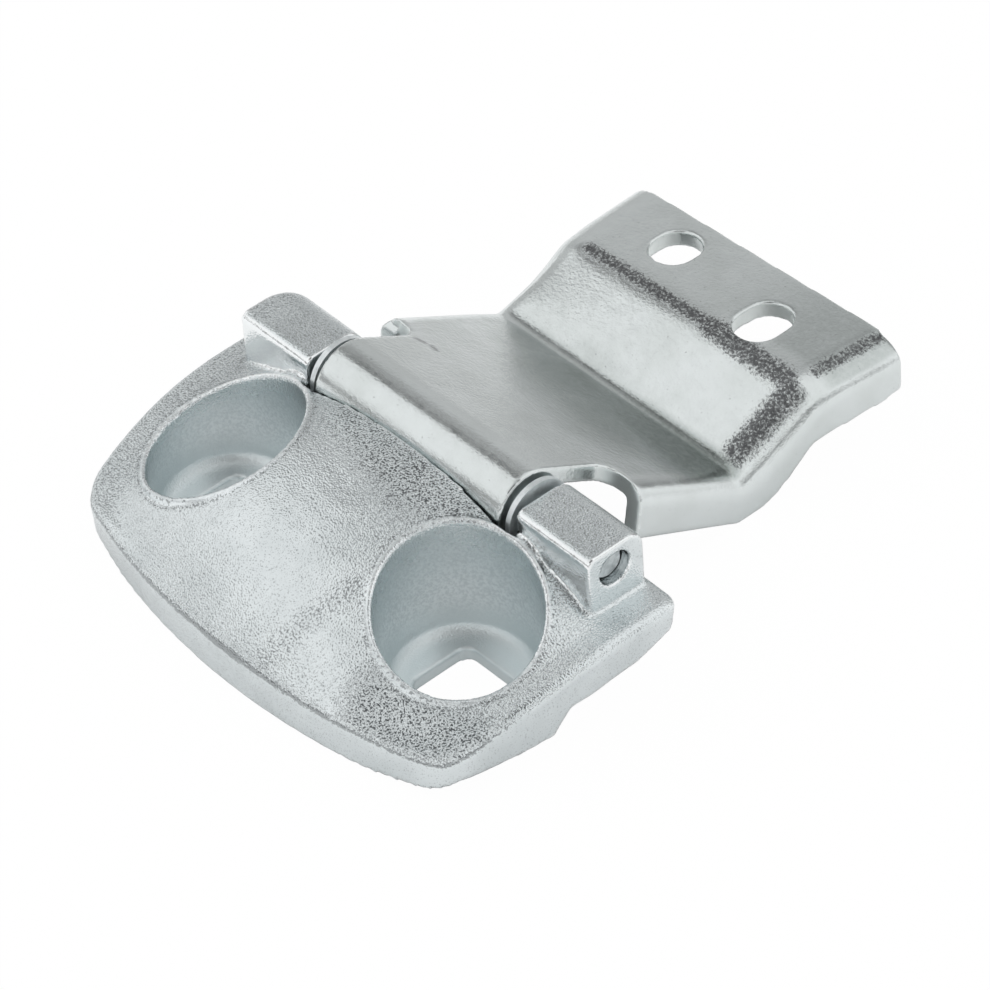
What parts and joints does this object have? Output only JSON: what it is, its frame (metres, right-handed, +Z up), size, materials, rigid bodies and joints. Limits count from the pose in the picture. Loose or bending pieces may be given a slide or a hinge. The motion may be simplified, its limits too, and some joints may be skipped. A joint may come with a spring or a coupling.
{
  "type": "door hinge",
  "caption": "Vehicle door hinge: a domed cast leaf with round bolt pockets, a pressed leaf with turned-down sides and slots, and a rolled barrel between knuckles on a through pin.",
  "frame": {"origin": "middle of the footprint, on the flat surface that the hinge lies on", "axes": "+X along the pin, +Y from the cast leaf to the pressed leaf, +Z up"},
  "size_m": [0.126, 0.1541, 0.0384],
  "materials": {
    "plated_casting": "bright zinc plating over a pebbly cast skin",
    "plated_sheet": "bright zinc plating over smooth pressed sheet",
    "plated_pin": "zinc plated",
    "plated_bush": "zinc plated"
  },
  "bodies": {
    "cast_side": {"cast_leaf": "plated_casting", "hinge_pin": "plated_pin"},
    "pressed_side": {"pressed_leaf": "plated_sheet", "left_bush": "plated_bush", "right_bush": "plated_bush"}
  },
  "joints": [
    {"name": "leaf_hinge", "type": "hinge", "parent": "cast_side", "child": "pressed_side", "pos_m": [0, -0.01695, 0.0293], "axis": [1, 0, 0], "range_deg": [-60, 110]}
  ]
}
